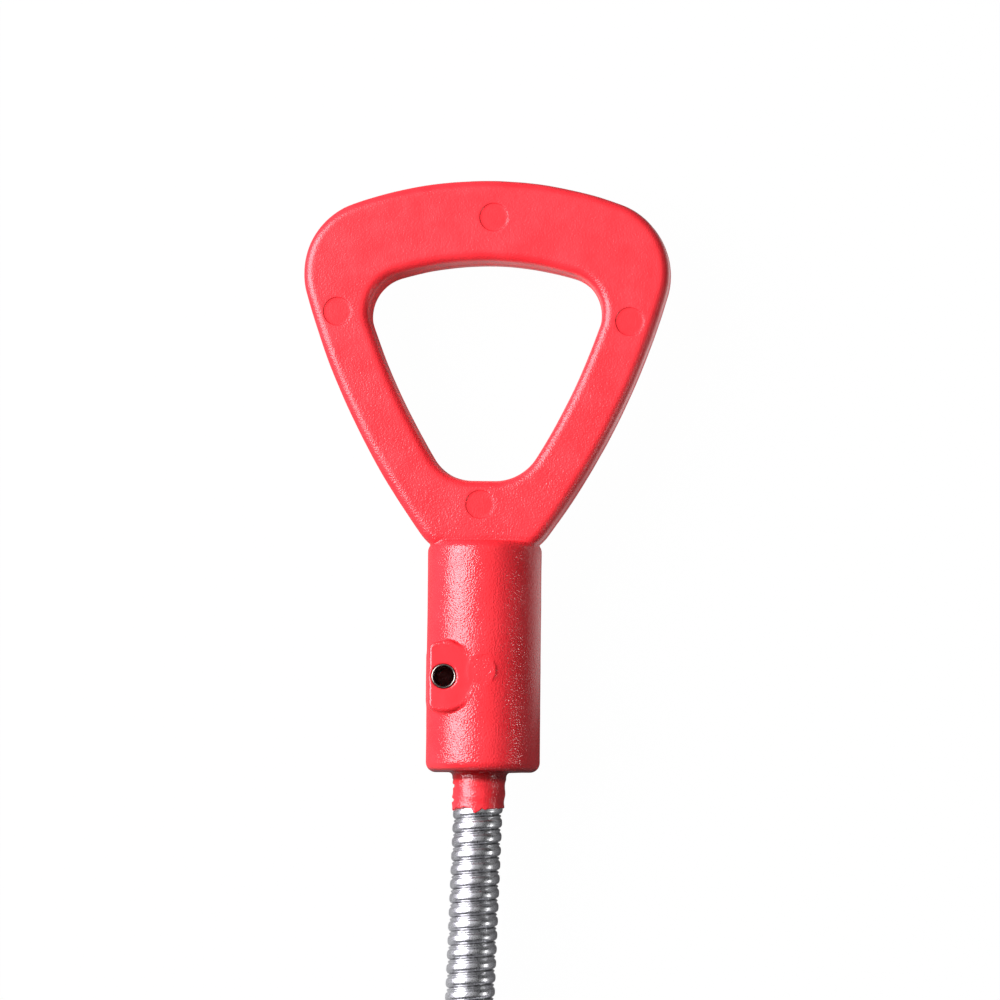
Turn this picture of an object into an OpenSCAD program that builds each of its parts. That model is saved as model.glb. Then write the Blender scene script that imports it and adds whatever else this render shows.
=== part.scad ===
// Hand drain auger: a moulded loop handle on a strip-wound steel casing, with a wire auger head.
// It lies on its back, +Z up, and Z = 0 is the surface that it lies on. The casing leaves the
// handle along -Y. The origin is the bottom centre of the handle's box.

/* [Loop] */
// Height of the loop's top above the socket's mouth
loop_h = 95.7; // [90:0.1:110]
// Width of the loop, measured across its upper corners
loop_w = 59.4; // [56:0.1:64]
// Thickness of the loop
loop_t = 10; // [8:0.5:12]
// Radius of the arched top
loop_top_r = 64.1; // [58:0.1:80]
// Radius of the two bowed sides
loop_side_r = 123.5; // [110:0.5:160]
// Radius of the upper corners
loop_corner_r = 12; // [9:0.1:14]
// Width of the loop where it meets the socket
loop_foot_w = 18.5; // [17:0.1:18.6]
// Radius by which the loop's foot turns in over the socket's shoulder
loop_foot_r = 8; // [6:0.5:12]
// Height above the shoulder at which the foot starts to turn in
foot_top = 1.3; // [0.8:0.1:1.8]
// How far the foot goes down into the socket
foot_sink = 0.8; // [0.3:0.1:1.2]
// Radius of all moulded edges of the loop
edge_r = 1.6; // [0.8:0.1:2.2]
// Draft of the loop's walls, away from the parting line
draft = 1.5; // [0.5:0.1:3]

/* [Finger hole] */
// Width of the rim above the hole
rim_w = 13.3; // [10:0.1:16]
// Height of the web between the socket's shoulder and the hole
web_h = 9.9; // [7:0.1:13]
// Width of the hole, measured across its upper corners
hole_w = 37.5; // [34:0.1:39]
// Width of the hole's base, where its sides would meet it without their rounding
hole_base_w = 11.9; // [10:0.1:14]
// Radius of the hole's arched top
hole_top_r = 49.5; // [44:0.1:60]
// Radius of the hole's bowed sides
hole_side_r = 107.2; // [95:0.5:130]
// Radius of the hole's upper corners
hole_corner_r = 6.5; // [5:0.1:8]
// Radius of the hole's lower corners
hole_base_r = 7.6; // [5:0.1:8.5]

/* [Socket] */
// Outer diameter of the socket
socket_d = 18.2; // [17.6:0.1:20]
// Length of the socket, from its mouth to its shoulder
socket_l = 37; // [34:0.5:42]
// Radius of the rim round the socket's mouth
mouth_r = 1.5; // [0.8:0.1:2]
// Radius of the edge round the socket's shoulder
shoulder_r = 1.5; // [0.8:0.1:2]
// Wall of the skin that runs down over the casing's first ribs
skirt_wall = 0.3; // [0.2:0.05:0.6]
// Length of that skin below the mouth
skirt_l = 6; // [3:0.5:10]
// Radius of the concave root between the mouth and the skin
root_r = 1; // [0.4:0.1:1.4]

/* [Pin and boss] */
// Outer diameter of the hollow pin
pin_d = 4; // [3.6:0.1:4.4]
// Wall of the hollow pin
pin_wall = 0.35; // [0.2:0.05:0.8]
// Length of the hollow pin
pin_l = 12; // [10:0.5:12.5]
// Distance of the pin's axis from the casing's axis
pin_offset = 5.9; // [5.6:0.1:6]
// Height of the pin's axis above the mouth
pin_h = 15; // [12:0.1:18]
// Diameter of the round boss about the pin
boss_d = 11.4; // [9:0.1:13]
// Height of the boss's flat face above the socket's axis
boss_h = 8.9; // [8.5:0.1:9]
// How far the boss's outer side stands proud of the socket's side
boss_proud = 0.15; // [0.1:0.05:0.4]
// Draft of that outer side
boss_draft = 6; // [2:0.5:7]
// Radius of the edge round the boss's face
boss_edge_r = 0.5; // [0.2:0.1:1]
// Radius of the small lug on the boss's rim
lug_r = 1.25; // [0.8:0.05:1.6]
// How far the pin stands proud of the boss
pin_proud = 0.1; // [0:0.05:0.4]
// How much deeper than the pin its blind hole is
pin_hole_more = 0.3; // [0:0.1:0.6]

/* [Moulding marks] */
// Diameter of the ejector marks
mark_d = 4.6; // [3:0.1:6]
// Depth of the ejector marks
mark_depth = 0.15; // [0.1:0.05:0.3]
// Height of the gate's stub on top of the loop
gate_h = 0.3; // [0.1:0.1:0.6]
// Width of the gate's stub
gate_w = 2.6; // [2:0.1:4]
// Thickness of the gate's stub
gate_t = 1.2; // [0.8:0.1:2]
// Height above the mouth of the flat ejector mark on the socket
flat_h = 16; // [10:0.5:30]
// Height of that mark's flat face above the socket's axis
flat_z = 9; // [8.8:0.05:9]

/* [Casing] */
// Outer diameter of the strip-wound casing
casing_d = 8; // [7.6:0.1:8.4]
// Bore of the casing
casing_bore = 5; // [4.4:0.1:5.4]
// Pitch of the casing's ribs
rib_pitch = 2.26; // [2:0.02:2.8]
// Depth of the groove between two ribs
groove_depth = 0.7; // [0.3:0.05:0.8]
// Width of the groove's floor
groove_w = 0.6; // [0.4:0.05:0.8]
// Angle by which the casing leans from the socket's axis
lean = 1.9; // [0:0.1:3]
// Length of straight casing below the mouth
neck_l = 42; // [40:0.5:44]
// Length of casing held in the socket
casing_grip = 26; // [23:0.5:28]

/* [Anchor] */
// Outer diameter of the sleeve crimped on the casing
sleeve_d = 10.4; // [9.8:0.1:11]
// Length of the sleeve
sleeve_l = 20; // [18:0.5:21]
// Diameter of the cable down the casing's middle
core_d = 3; // [2:0.1:4]
// Diameter of the stop pressed on the cable's end
stop_d = 7.6; // [6:0.1:8]
// Length of the stop
stop_l = 5; // [3:0.5:6]

/* [Auger head] */
// Outer diameter of the tip's ferrule
ferrule_d = 10; // [9.6:0.1:11]
// Length of the ferrule
ferrule_l = 16; // [14:0.5:18]
// Length of casing inside the ferrule
ferrule_grip = 8; // [6:0.5:9]
// Diameter of the head's stem
stem_d = 5; // [4.4:0.1:6]
// Diameter of the cross pin that holds the stem
cross_pin_d = 2; // [1.5:0.1:2.5]
// Diameter of the head's spring wire
wire_d = 2.5; // [2:0.1:2.8]
// Outer diameter of the head's bulb
bulb_d = 15; // [13:0.1:15]
// Length of the wound head
bulb_l = 36; // [30:0.5:40]
// Number of turns in the head
bulb_turns = 6.5; // [5:0.5:8]

/* [Coil ties] */
// Width of the ties round the coil
tie_w = 3.6; // [2.5:0.1:5]
// Thickness of the ties
tie_t = 1.1; // [0.8:0.1:1.1]

/* [Hidden] */
$fn = 96;

red = [0.93, 0.16, 0.2];
steel = [0.72, 0.74, 0.77];
dark_steel = [0.45, 0.46, 0.48];
nylon = [0.93, 0.93, 0.9];

// Places along Y, all set by the socket's mouth
mouth_y = (skirt_l - loop_h - gate_h) / 2;
shoulder_y = mouth_y + socket_l;
loop_top_y = mouth_y + loop_h;
pin_y = mouth_y + pin_h;
socket_r = socket_d / 2;
axis_z = socket_r;

pin_top_z = axis_z + boss_h + pin_proud;

// The casing's two straight ends, measured along its axis from the pin
casing_r = casing_d / 2;
grip_end = casing_grip - pin_h;
neck_end = pin_h + neck_l;
casing_way = [-sin(lean), -cos(lean), 0];
neck_p = [0, pin_y, axis_z] + neck_end * casing_way;

// The coil: its middle, the middle of its turns and its lower turns' height over the ties
coil_c = [40.5, -134];
coil_r = 40;
coil_z = 5.2;
tie_head = [4.4, 6, 5];

// Way of the casing from its straight neck to the coil, and from the coil to the tip, by hand
run_route = [
    [-2.3, -96, 8.6], [-2.5, -102, 7.7], [-2.7, -108, 6.7], [-2.9, -114, 5.8],
    [-3.1, -120, 5.3], [-3.3, -126, 5.2], [-3.5, -132, 5.2]
];
tail_route = [[-0.9, -118, 13.4], [-2, -122.6, 13.5], [-4.1, -130.3, 13.4], [-6.1, -138, 12.9]];

// The ferrule's upper end, and how the tip lies: turned aside and tipped down to the surface
tip_p = [-9.8, -151.6, 11.3];
tip_yaw = 15;
tip_pitch = 6;
tip_way = [-sin(tip_yaw) * cos(tip_pitch), -cos(tip_yaw) * cos(tip_pitch), -sin(tip_pitch)];

// Ejector marks: places on the loop's front face, by hand, from a point this high above the mouth
mark_origin_h = 66.7;
mark_origin_y = mouth_y + mark_origin_h;
marks = [[1.2, 22.8], [-24, 7.4], [23.3, 5.9], [-0.6, -23.8]];
flat_mark_p = [0.2, mouth_y + flat_h];

// Place of the boss's lug from the pin's axis
lug_p = [0.6, 4.6];

// Levels of the loop's wall: height above its back, and inset from the widest outline
wall_inset = (loop_t / 2 - edge_r) * tan(draft);
edge_steps = 4;
back_levels = [for (i = [edge_steps : -1 : 0]) let (a = 90 * i / edge_steps)
    [edge_r * (1 - sin(a)), wall_inset + edge_r * (1 - cos(a))]];
wall_levels = concat(
    back_levels,
    [[loop_t / 2, 0]],
    [for (i = [edge_steps : -1 : 0]) [loop_t - back_levels[i][0], back_levels[i][1]]]
);

// Steps along each stretch of half an outline. Both outlines have as many steps in all.
top_steps = 8;
corner_steps = 10;
side_steps = 14;
foot_steps = 4;
hole_corner_steps = 8;
hole_side_steps = 12;
hole_foot_steps = 8;
base_steps = 3;

function arc(c, r, a0, a1, n) =
    [for (i = [0 : n - 1]) let (a = a0 + (a1 - a0) * i / n) c + r * [cos(a), sin(a)]];

function to_middle(x, y) =
    [for (i = [0 : base_steps]) [x * (1 - i / (base_steps + 0.5)), y]];

// Where two circles cross, on the left of the way from the first centre to the second
function crossing(c1, r1, c2, r2) =
    let (
        d = norm(c2 - c1),
        u = (c2 - c1) / d,
        along = (d * d + r1 * r1 - r2 * r2) / (2 * d),
        up = sqrt(r1 * r1 - along * along)
    )
    c1 + along * u + up * [-u[1], u[0]];

function bearing(from, to) = atan2(to[1] - from[1], to[0] - from[0]);

// Centre of an arc of radius r that touches a larger one from inside, at a given x or y
function inside_at_x(c, big_r, r, x) = [x, c[1] + sqrt(pow(big_r - r, 2) - pow(x - c[0], 2))];
function inside_at_y(c, big_r, r, y) = [c[0] + sqrt(pow(big_r - r, 2) - pow(y - c[1], 2)), y];

function whole(half) =
    concat(half, [for (i = [len(half) - 1 : -1 : 1]) [-half[i][0], half[i][1]]]);

// Centres of the loop's arcs. Its foot turns in and goes down into the socket.
top_c = [0, loop_top_y - loop_top_r];
corner_c = inside_at_x(top_c, loop_top_r, loop_corner_r, loop_w / 2 - loop_corner_r);
side_c = crossing([loop_foot_w / 2, shoulder_y], loop_side_r,
    corner_c, loop_side_r - loop_corner_r);
foot_turn = asin((shoulder_y + foot_top - side_c[1]) / loop_side_r);
foot_c = side_c + (loop_side_r - loop_foot_r) * [cos(foot_turn), sin(foot_turn)];
foot_y = shoulder_y - foot_sink;

// Right half of the loop's outline, set in by an inset, from its top to its foot
function loop_half(inset) =
    let (
        a1 = bearing(top_c, corner_c),
        a2 = bearing(side_c, corner_c),
        foot_r = loop_foot_r - inset,
        a3 = asin(max(-1, (foot_y - foot_c[1]) / foot_r))
    )
    concat(
        arc(top_c, loop_top_r - inset, 90, a1, top_steps),
        arc(corner_c, loop_corner_r - inset, a1, a2, corner_steps),
        arc(side_c, loop_side_r - inset, a2, foot_turn, side_steps),
        arc(foot_c, foot_r, foot_turn, a3, foot_steps),
        to_middle(foot_c[0] + foot_r * cos(a3), foot_y)
    );

// Centres of the finger hole's arcs
hole_top_y = loop_top_y - rim_w;
hole_base_y = shoulder_y + web_h;
hole_top_c = [0, hole_top_y - hole_top_r];
hole_corner_c = inside_at_x(hole_top_c, hole_top_r, hole_corner_r, hole_w / 2 - hole_corner_r);
hole_side_c = crossing([hole_base_w / 2, hole_base_y], hole_side_r,
    hole_corner_c, hole_side_r - hole_corner_r);
hole_base_c = inside_at_y(hole_side_c, hole_side_r, hole_base_r, hole_base_y + hole_base_r);

// Right half of the finger hole's outline, grown by the inset, from its top to its base
function hole_half(inset) =
    let (
        a1 = bearing(hole_top_c, hole_corner_c),
        a2 = bearing(hole_side_c, hole_corner_c),
        a3 = bearing(hole_side_c, hole_base_c)
    )
    concat(
        arc(hole_top_c, hole_top_r + inset, 90, a1, top_steps),
        arc(hole_corner_c, hole_corner_r + inset, a1, a2, hole_corner_steps),
        arc(hole_side_c, hole_side_r + inset, a2, a3, hole_side_steps),
        arc(hole_base_c, hole_base_r + inset, a3, -90, hole_foot_steps),
        to_middle(hole_base_c[0], hole_base_y - inset)
    );

// The loop: one solid lofted through its levels, between the outline and the finger hole
module loop_body() {
    outer = [for (l = wall_levels) each [for (p = whole(loop_half(l[1]))) [p[0], p[1], l[0]]]];
    inner = [for (l = wall_levels) each [for (p = whole(hole_half(l[1]))) [p[0], p[1], l[0]]]];
    m = len(wall_levels);
    n = len(outer) / m;
    h = n * m;
    front = h - n;
    walls = [for (k = [0 : m - 2], i = [0 : n - 1]) let (j = (i + 1) % n, a = k * n)
        [a + i, a + j, a + n + j, a + n + i]];
    hole_walls = [for (k = [0 : m - 2], i = [0 : n - 1]) let (j = (i + 1) % n, a = h + k * n)
        [a + i, a + n + i, a + n + j, a + j]];
    back_face = [for (i = [0 : n - 1]) let (j = (i + 1) % n) [i, h + i, h + j, j]];
    front_face = [for (i = [0 : n - 1]) let (j = (i + 1) % n)
        [front + i, front + j, h + front + j, h + front + i]];
    translate([0, 0, axis_z - loop_t / 2])
        polyhedron(concat(outer, inner), concat(walls, hole_walls, back_face, front_face),
            convexity = 6);
}

// Local +Z runs down the casing's axis, and local zero is level with the pin
module on_casing() {
    translate([0, pin_y, axis_z]) rotate([0, 0, -lean]) rotate([90, 0, 0]) children();
}

// Local +Z runs down the tip's axis, and local zero is the ferrule's upper end
module on_tip() {
    translate(tip_p) rotate([0, 0, -tip_yaw]) rotate([tip_pitch, 0, 0]) rotate([90, 0, 0])
        children();
}

module round_socket() {
    profile = concat(
        [[0, 0]],
        arc([socket_r - shoulder_r, shoulder_r], shoulder_r, -90, 0, 8),
        arc([socket_r - mouth_r, socket_l - mouth_r], mouth_r, 0, 90, 10),
        [[socket_r - mouth_r, socket_l], [0, socket_l]]
    );
    translate([0, shoulder_y, axis_z]) rotate([90, 0, 0]) rotate_extrude() polygon(profile);
}

// The thin skin moulded over the casing's first ribs, cut off square to the handle
module skirt() {
    skirt_r = casing_d / 2 + skirt_wall;
    root_h = pin_h - 0.2;
    profile = concat(
        [[0, root_h - 1], [skirt_r + root_r, root_h - 1]],
        arc([skirt_r + root_r, root_h + root_r], root_r, -90, -180, 8),
        [[skirt_r, root_h + root_r], [skirt_r, pin_h + skirt_l + 2], [0, pin_h + skirt_l + 2]]
    );
    intersection() {
        on_casing() rotate_extrude() polygon(profile);
        translate([-20, mouth_y - skirt_l, 0]) cube([40, skirt_l + 5, 40]);
    }
}

// A disc as high as the boss, with its upper edge rounded
module round_disc(r) {
    rotate_extrude() polygon(concat(
        [[0, 0], [r, 0]],
        arc([r - boss_edge_r, boss_h - boss_edge_r], boss_edge_r, 0, 90, 6),
        [[r - boss_edge_r, boss_h], [0, boss_h]]
    ));
}

// Round boss about the pin, with a lug on its rim. Its outer side starts nearly flush with the
// socket's side, and leans in by its draft.
module boss() {
    side_x = -socket_r - boss_proud;
    edge_z = boss_h - boss_edge_r;
    edge_x = side_x + edge_z * tan(boss_draft) + boss_edge_r / cos(boss_draft);
    section = concat(
        [[0, 0], [side_x, 0]],
        arc([edge_x, edge_z], boss_edge_r, 180 - boss_draft, 90, 6),
        [[edge_x, boss_h], [0, boss_h]]
    );
    translate([0, pin_y, axis_z]) intersection() {
        translate([-pin_offset, 0, 0]) {
            round_disc(boss_d / 2);
            translate(lug_p) round_disc(lug_r);
        }
        translate([0, boss_d, 0]) rotate([90, 0, 0]) linear_extrude(2 * boss_d) polygon(section);
    }
}

// The space of a flat ejector mark's disc on the socket, up to its face or on from there
module flat_mark(above = false) {
    translate([flat_mark_p[0], flat_mark_p[1], axis_z + (above ? flat_z : 0)])
        cylinder(d = mark_d, h = above ? socket_r : flat_z);
}

// The space of the pin, or of a hole of its size that goes deeper by some more
module pin_space(deeper = 0) {
    translate([-pin_offset, pin_y, pin_top_z - pin_l - deeper])
        cylinder(d = pin_d, h = pin_l + deeper);
}

module handle() {
    color(red) difference() {
        union() {
            loop_body();
            round_socket();
            skirt();
            boss();
            flat_mark();
            translate([-gate_w / 2, loop_top_y - 1, axis_z - gate_t / 2])
                cube([gate_w, 1 + gate_h, gate_t]);
        }
        on_casing() {
            translate([0, 0, -grip_end - stop_l]) cylinder(d = stop_d, h = stop_l + 1);
            translate([0, 0, -grip_end]) cylinder(d = sleeve_d, h = sleeve_l);
            cylinder(d = casing_d, h = pin_h + skirt_l + 5);
        }
        pin_space(pin_hole_more);
        translate([0, 0, boss_h - pin_proud]) pin_space();
        flat_mark(above = true);
        for (p = marks)
            translate([p[0], mark_origin_y + p[1], axis_z + loop_t / 2 - mark_depth])
                cylinder(d = mark_d, h = 1);
    }
}

module retaining_pin() {
    color(steel) difference() {
        pin_space();
        translate([-pin_offset, pin_y, 0]) cylinder(d = pin_d - 2 * pin_wall, h = 3 * socket_d);
    }
}

module anchor_sleeve() {
    color(dark_steel) difference() {
        on_casing() translate([0, 0, -grip_end]) difference() {
            cylinder(d = sleeve_d, h = sleeve_l);
            translate([0, 0, -1]) cylinder(d = casing_d, h = sleeve_l + 2);
        }
        pin_space(1);
    }
}

module core_stop() {
    color(dark_steel) on_casing() translate([0, 0, -grip_end - stop_l]) difference() {
        cylinder(d = stop_d, h = stop_l);
        translate([0, 0, -1]) cylinder(d = core_d, h = stop_l + 2);
    }
}

module core_cable() {
    color(dark_steel) on_casing() translate([0, 0, -grip_end - stop_l])
        cylinder(d = core_d, h = stop_l + grip_end + neck_end);
}

// Straight casing, from its end in the socket to where it starts to droop. The winding's ribs
// are rings here, one pitch apart.
module casing_neck() {
    rib_w = rib_pitch - groove_w;
    floor_r = casing_r - groove_depth;
    ribs = floor((grip_end + neck_end - groove_w) / rib_pitch);
    start = neck_end - ribs * rib_pitch;
    profile = concat(
        [[casing_bore / 2, neck_end], [casing_bore / 2, -grip_end], [floor_r, -grip_end]],
        [for (i = [0 : ribs - 1]) each [for (a = [0 : 30 : 180])
            [floor_r + groove_depth * sin(a), start + i * rib_pitch + rib_w * (1 - cos(a)) / 2]]],
        [[floor_r, neck_end]]
    );
    color(steel) difference() {
        on_casing() rotate_extrude() polygon(profile);
        pin_space(1);
    }
}

// A plain tube along a route of points. Its first ring can be turned to face a given way.
module tube(route, r, sides = 12, first = undef) {
    last = len(route) - 1;
    rings = [for (i = [0 : last])
        let (
            way = i == 0 && !is_undef(first) ? first : route[min(i + 1, last)] - route[max(i - 1, 0)],
            t = way / norm(way),
            flat = cross(t, [0, 0, 1]),
            s = flat / norm(flat),
            u = cross(s, t)
        )
        each [for (k = [0 : sides - 1]) let (a = 360 * k / sides)
            route[i] + r * (cos(a) * s + sin(a) * u)]];
    skin = [for (i = [0 : last - 1], k = [0 : sides - 1]) let (j = (k + 1) % sides, a = i * sides)
        [a + k, a + j, a + sides + j, a + sides + k]];
    ends = [[for (k = [sides - 1 : -1 : 0]) k], [for (k = [0 : sides - 1]) last * sides + k]];
    polyhedron(rings, concat(skin, ends), convexity = 4);
}

module casing_run() {
    color(steel) tube(concat([neck_p, neck_p + 6 * casing_way], run_route), casing_r,
        first = casing_way);
}

// Outer shape of the coil: three turns, two side by side and one in the groove between them
module casing_coil() {
    turns = [[coil_r + casing_r, coil_z], [coil_r, coil_z + casing_d * sin(60)],
        [coil_r - casing_r, coil_z]];
    section = [for (k = [0 : 2]) each [for (a = [-90 : 15 : 30])
        turns[k] + casing_r * [cos(a + 120 * k), sin(a + 120 * k)]]];
    color(steel) translate([coil_c[0], coil_c[1], 0]) rotate_extrude() polygon(section);
}

module casing_tail() {
    color(steel) tube(concat(tail_route, [tip_p, tip_p + ferrule_grip * tip_way]), casing_r);
}

module tip_ferrule() {
    r = ferrule_d / 2;
    bevel = 0.8;
    crimp = 0.5;
    crimp_w = 1.6;
    crimp_floor_w = 0.6;
    profile = concat(
        [[casing_d / 2, 0], [r - bevel, 0], [r, bevel]],
        [for (h = [2.5, 5.5]) each [[r, h - crimp_w / 2], [r - crimp, h - crimp_floor_w / 2],
            [r - crimp, h + crimp_floor_w / 2], [r, h + crimp_w / 2]]],
        [[r, ferrule_l - 2 * bevel], [r - 2 * bevel, ferrule_l], [stem_d / 2, ferrule_l],
            [stem_d / 2, ferrule_grip], [casing_d / 2, ferrule_grip]]
    );
    color(steel) on_tip() difference() {
        rotate_extrude() polygon(profile);
        cross_pin_space();
    }
}

module cross_pin_space() {
    translate([0, 0, (ferrule_grip + ferrule_l) / 2]) rotate([0, 90, 0])
        cylinder(d = cross_pin_d, h = ferrule_d - 0.4, center = true);
}

module tip_cross_pin() {
    color(dark_steel) on_tip() cross_pin_space();
}

// Open bulb of spring wire, wound on from its stem and drawn in again to a hooked end
module auger_head() {
    steps = ceil(bulb_turns * 14);
    wide = (bulb_d - wire_d) / 2;
    start_r = 1.2;
    start_h = 0.5;
    draw = 0.93;
    fullness = 0.8;
    wire = [for (i = [0 : steps])
        let (
            t = i / steps,
            r = start_r + (wide - start_r) * pow(sin(180 * draw * t), fullness),
            a = 360 * bulb_turns * t
        )
        [r * cos(a), r * sin(a), ferrule_l + start_h + bulb_l * t]];
    color(steel) on_tip() difference() {
        union() {
            translate([0, 0, ferrule_grip]) cylinder(d = stem_d, h = ferrule_l - ferrule_grip + 2.5);
            tube(wire, wire_d / 2, 8);
        }
        cross_pin_space();
    }
}

// A tie about some turns: their centres are given across the coil, from its middle outwards
module coil_tie(angle, turns) {
    gap = 0.1;
    module about(more) { hull() for (p = turns) translate(p) circle(casing_r + gap + more, $fn = 32); }
    color(nylon) translate([coil_c[0], coil_c[1], 0]) rotate([0, 0, angle]) rotate([90, 0, 0])
        translate([0, 0, -tie_w / 2]) {
            linear_extrude(tie_w) difference() {
                about(tie_t);
                about(0);
            }
            translate([coil_r - casing_d - gap - tie_t - tie_head[0] + 0.4, coil_z - tie_head[1] / 2,
                (tie_w - tie_head[2]) / 2])
                cube(tie_head);
        }
}

three_turns = [[coil_r + casing_r, coil_z], [coil_r - casing_r, coil_z],
    [coil_r, coil_z + casing_d * sin(60)]];
four_turns = [[coil_r + casing_r, coil_z], [coil_r - casing_r, coil_z],
    [coil_r - casing_r, coil_z + casing_d], [coil_r + casing_r, coil_z + casing_d]];

handle();
retaining_pin();
anchor_sleeve();
core_stop();
core_cable();
casing_neck();
casing_run();
casing_coil();
casing_tail();
tip_ferrule();
tip_cross_pin();
auger_head();
coil_tie(215, three_turns);  // coil_tie_1
coil_tie(300, three_turns);  // coil_tie_2
coil_tie(10, three_turns);  // coil_tie_3
coil_tie(90, four_turns);  // coil_tie_4
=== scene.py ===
"""The looks of a hand drain auger: a moulded loop handle, a strip-wound casing and a wire head.

Sizes and places are in millimetres, in the CAD model's own frame: +X to the right, +Y up the
handle, +Z up from the surface that it lies on. mesh_piece() turns them into metres.
"""

import math

import bpy
import numpy as np
from mathutils import Matrix, Vector, noise


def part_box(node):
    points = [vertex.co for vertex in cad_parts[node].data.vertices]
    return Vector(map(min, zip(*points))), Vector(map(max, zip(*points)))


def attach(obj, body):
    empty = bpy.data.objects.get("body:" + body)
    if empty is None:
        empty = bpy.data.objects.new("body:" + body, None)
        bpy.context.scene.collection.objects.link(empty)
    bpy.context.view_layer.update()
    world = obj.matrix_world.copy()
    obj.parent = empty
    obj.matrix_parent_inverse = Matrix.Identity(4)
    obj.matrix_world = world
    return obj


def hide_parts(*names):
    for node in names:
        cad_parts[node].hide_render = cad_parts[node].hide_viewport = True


MM = 0.001
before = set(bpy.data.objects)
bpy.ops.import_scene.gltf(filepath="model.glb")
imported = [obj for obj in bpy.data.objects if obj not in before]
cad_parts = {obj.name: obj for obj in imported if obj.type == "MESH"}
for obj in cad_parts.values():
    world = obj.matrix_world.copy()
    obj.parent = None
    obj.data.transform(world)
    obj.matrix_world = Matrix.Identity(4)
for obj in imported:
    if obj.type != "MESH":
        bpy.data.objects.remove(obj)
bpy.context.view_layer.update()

# ---------------------------------------------------------------- sizes, as in the CAD model

LOOP_H, LOOP_W, LOOP_T, LOOP_FOOT_W = 95.7, 59.4, 10.0, 18.5
LOOP_TOP_R, LOOP_SIDE_R, LOOP_CORNER_R, LOOP_FOOT_R = 64.1, 123.5, 12.0, 8.0
FOOT_TOP, FOOT_SINK = 1.3, 0.8
EDGE_R, DRAFT = 1.6, math.radians(1.5)
RIM_W, WEB_H, HOLE_W, HOLE_BASE_W = 13.3, 9.9, 37.5, 11.9
HOLE_TOP_R, HOLE_SIDE_R, HOLE_CORNER_R, HOLE_BASE_R = 49.5, 107.2, 6.5, 7.6
SOCKET_R, SOCKET_L, SOCKET_EDGE_R = 9.1, 37.0, 1.5
SKIRT_R, SKIRT_L = 4.23, 6.0
PIN_D, PIN_WALL, PIN_L, PIN_OFFSET, PIN_H = 4.0, 0.35, 12.0, 5.9, 15.0
BOSS_D, BOSS_H, BOSS_PROUD, BOSS_EDGE_R, BOSS_DRAFT = 11.4, 8.9, 0.15, 0.5, math.radians(6)
LUG_AT, LUG_R = (0.6, 4.6), 1.25
PIN_PROUD, PIN_HOLE_MORE = 0.1, 0.3
MARK_D, MARK_DEPTH = 4.6, 0.15
MARKS, MARK_ORIGIN_H = [(1.2, 22.8), (-24, 7.4), (23.3, 5.9), (-0.6, -23.8)], 66.7
FLAT_D, FLAT_H, FLAT_AT = 4.6, 9.0, (0.2, 16.0)
GATE_H, GATE_W, GATE_T = 0.3, 2.6, 1.2
SHOULDER_FILLET, LUG_FILLET, BOSS_FILLET, BOSS_CORNER_R = 0.35, 0.3, 0.18, 0.8
FLAT_FILLET, GATE_FILLET, COLLAR_FILLET, COLLAR_L, PIN_HOLE_EDGE_R = 0.1, 0.1, 0.8, 2.8, 0.12
CASING_R, RIB_PITCH, GROOVE_DEPTH = 4.0, 2.26, 0.7
LEAN, NECK_L, CASING_GRIP = math.radians(1.9), 42.0, 26.0
FERRULE_R, FERRULE_L, FERRULE_GRIP, STEM_R, CROSS_PIN_R = 5.0, 16.0, 8.0, 2.5, 1.0
WIRE_R, BULB_R, BULB_L, BULB_TURNS = 1.25, 7.5, 36.0, 6.5
TIE_W, TIE_T, TIE_GAP, TIE_HEAD = 3.6, 1.1, 0.1, (4.4, 6.0, 5.0)

# The handle's own box gives where its mouth, and so everything else, lies
handle_low, handle_high = (np.array(corner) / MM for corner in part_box("handle"))
MOUTH_Y = handle_low[1] + SKIRT_L
SHOULDER_Y = MOUTH_Y + SOCKET_L
LOOP_TOP_Y = MOUTH_Y + LOOP_H
PIN_Y = MOUTH_Y + PIN_H
AXIS_Z = handle_low[2] + SOCKET_R
PIN_TOP_Z = AXIS_Z + BOSS_H + PIN_PROUD

CASING_WAY = np.array([-math.sin(LEAN), -math.cos(LEAN), 0.0])
CASING_PIVOT = np.array([0.0, PIN_Y, AXIS_Z])
MOUTH = CASING_PIVOT + PIN_H * CASING_WAY
NECK_END = MOUTH + NECK_L * CASING_WAY

# The coil, and the casing's way to it and from it to the tip
COIL_C, COIL_R, COIL_Z = np.array([40.5, -134.0]), 40.0, 5.2
HIGH_Z = COIL_Z + 2 * CASING_R
NESTED_Z = COIL_Z + 2 * CASING_R * math.sin(math.radians(60))
RUN_ROUTE = [
    (-2.3, -96, 8.6), (-2.5, -102, 7.7), (-2.7, -108, 6.7), (-2.9, -114, 5.8),
    (-3.1, -120, 5.3), (-3.3, -126, 5.2),
]
TAIL_ROUTE = [(-2.0, -122.6, 13.5), (-4.1, -130.3, 13.4), (-6.1, -138.0, 12.9)]
TIP = np.array([-9.8, -151.6, 11.3])
TIP_YAW, TIP_PITCH = math.radians(15), math.radians(6)
TIP_WAY = np.array([
    -math.sin(TIP_YAW) * math.cos(TIP_PITCH),
    -math.cos(TIP_YAW) * math.cos(TIP_PITCH),
    -math.sin(TIP_PITCH),
])

# ---------------------------------------------------------------- camera, lamps and surface

AIM = Vector((2.38, -1.0, AXIS_Z)) * MM
VIEW_WIDTH = 162 * MM
LENS, SENSOR = 180.0, 36.0
FROM_BELOW, FROM_RIGHT, ROLL = math.radians(4.5), math.radians(3.0), math.radians(0.55)
UP, FRONT = (0, 1, 0), (0, 0, 1)


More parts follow.
